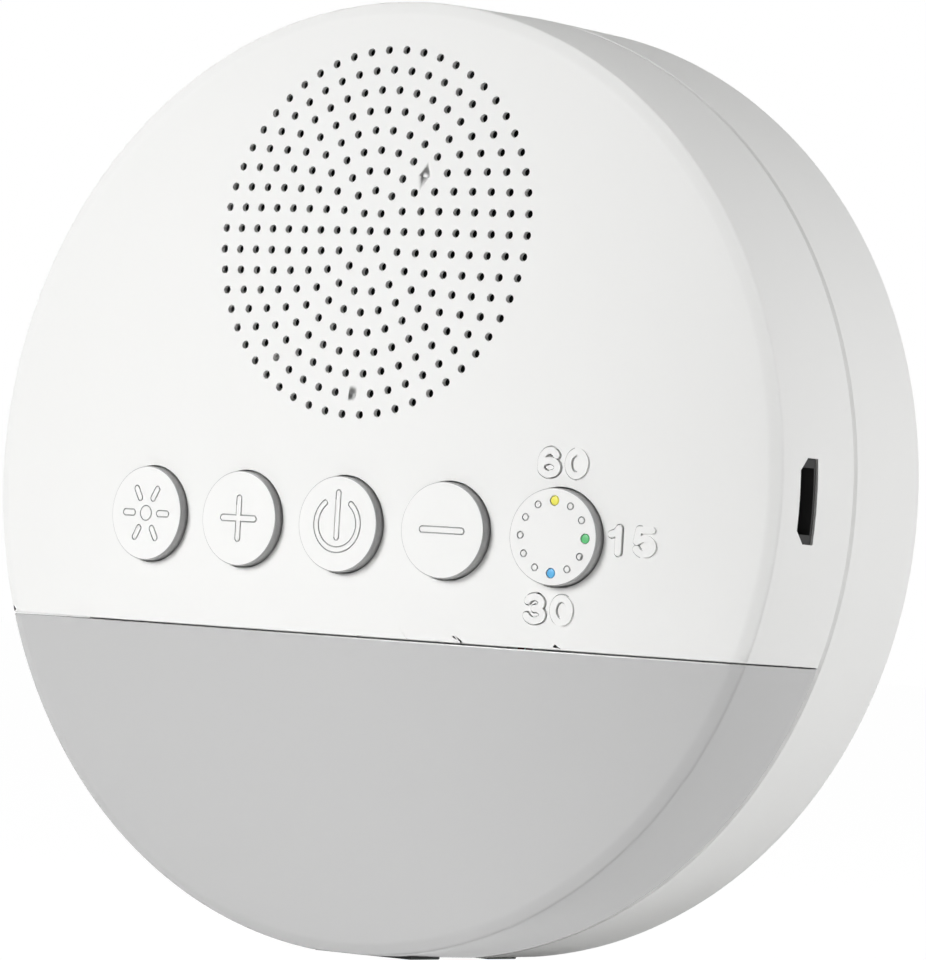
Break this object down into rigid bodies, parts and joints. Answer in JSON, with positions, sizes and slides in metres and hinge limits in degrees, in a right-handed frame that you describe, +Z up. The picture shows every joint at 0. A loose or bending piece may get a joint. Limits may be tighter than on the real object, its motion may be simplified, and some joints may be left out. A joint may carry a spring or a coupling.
{
  "type": "white noise sound machine",
  "caption": "Round upright sound machine with a domed grilled face, round push buttons, a timer button and a night-light lens.",
  "frame": {"origin": "centre of the footprint, on the surface that the foot pads rest on", "axes": "+Z up, +Y towards the back, +X to the right seen from the front, where the socket is"},
  "size_m": [0.1128, 0.0377, 0.1125],
  "materials": {
    "white_shell": "fine satin moulding",
    "white_button": "fine satin moulding",
    "lens_plastic": "satin translucent grey, unlit",
    "pad_rubber": "matt",
    "screw_steel": "zinc plated",
    "plated_steel": "nickel plated",
    "black_plastic": "matt",
    "socket_plastic": "natural nylon",
    "board_green": "solder mask",
    "board_white": "white solder mask",
    "led_plastic": "phosphor",
    "black_cloth": "woven",
    "foam": "closed-cell foam",
    "black_metal": "satin",
    "cone_paper": "pressed pulp",
    "magnet_iron": "plated ferrite magnet",
    "battery_foil": "pouch foil",
    "wire_red": "soft insulation",
    "window_yellow": "tinted light window",
    "window_green": "tinted light window",
    "window_blue": "tinted light window"
  },
  "bodies": {
    "housing": {"front_shell": "white_shell", "rear_shell": "white_shell", "light_lens": "lens_plastic", "foot_pads": "pad_rubber", "case_screws": "screw_steel", "switch_bodies": "black_plastic", "main_board": "board_green", "board_screws": "screw_steel", "board_chips": "black_plastic", "board_sockets": "socket_plastic", "wire_plugs": "socket_plastic", "indicator_leds": "led_plastic", "usb_shell": "plated_steel", "usb_tongue": "black_plastic", "speaker_cloth": "black_cloth", "speaker_gasket": "foam", "speaker_frame": "black_metal", "speaker_surround": "pad_rubber", "speaker_cone": "cone_paper", "dust_cap": "cone_paper", "speaker_magnet": "magnet_iron", "speaker_screws": "screw_steel", "light_board": "board_white", "light_board_screws": "screw_steel", "light_leds": "led_plastic", "battery": "battery_foil", "battery_tape": "foam", "speaker_wires": "wire_red", "battery_wires": "wire_red", "light_wires": "wire_red"},
    "light_key": {"light_button": "white_button", "light_plunger": "black_plastic"},
    "plus_key": {"plus_button": "white_button", "plus_plunger": "black_plastic"},
    "power_key": {"power_button": "white_button", "power_plunger": "black_plastic"},
    "minus_key": {"minus_button": "white_button", "minus_plunger": "black_plastic"},
    "timer_key": {"timer_button": "white_button", "timer_plunger": "black_plastic", "timer_light_yellow": "window_yellow", "timer_light_green": "window_green", "timer_light_blue": "window_blue"}
  },
  "joints": [
    {"name": "light_press", "type": "slide", "parent": "housing", "child": "light_key", "axis": [0, 1, 0], "range_m": [0, 0.0005], "stiffness_N_per_m": 400, "springref_m": -0.002},
    {"name": "plus_press", "type": "slide", "parent": "housing", "child": "plus_key", "axis": [0, 1, 0], "range_m": [0, 0.0005], "stiffness_N_per_m": 400, "springref_m": -0.002},
    {"name": "power_press", "type": "slide", "parent": "housing", "child": "power_key", "axis": [0, 1, 0], "range_m": [0, 0.0005], "stiffness_N_per_m": 400, "springref_m": -0.002},
    {"name": "minus_press", "type": "slide", "parent": "housing", "child": "minus_key", "axis": [0, 1, 0], "range_m": [0, 0.0005], "stiffness_N_per_m": 400, "springref_m": -0.002},
    {"name": "timer_press", "type": "slide", "parent": "housing", "child": "timer_key", "axis": [0, 1, 0], "range_m": [0, 0.0005], "stiffness_N_per_m": 400, "springref_m": -0.002}
  ]
}
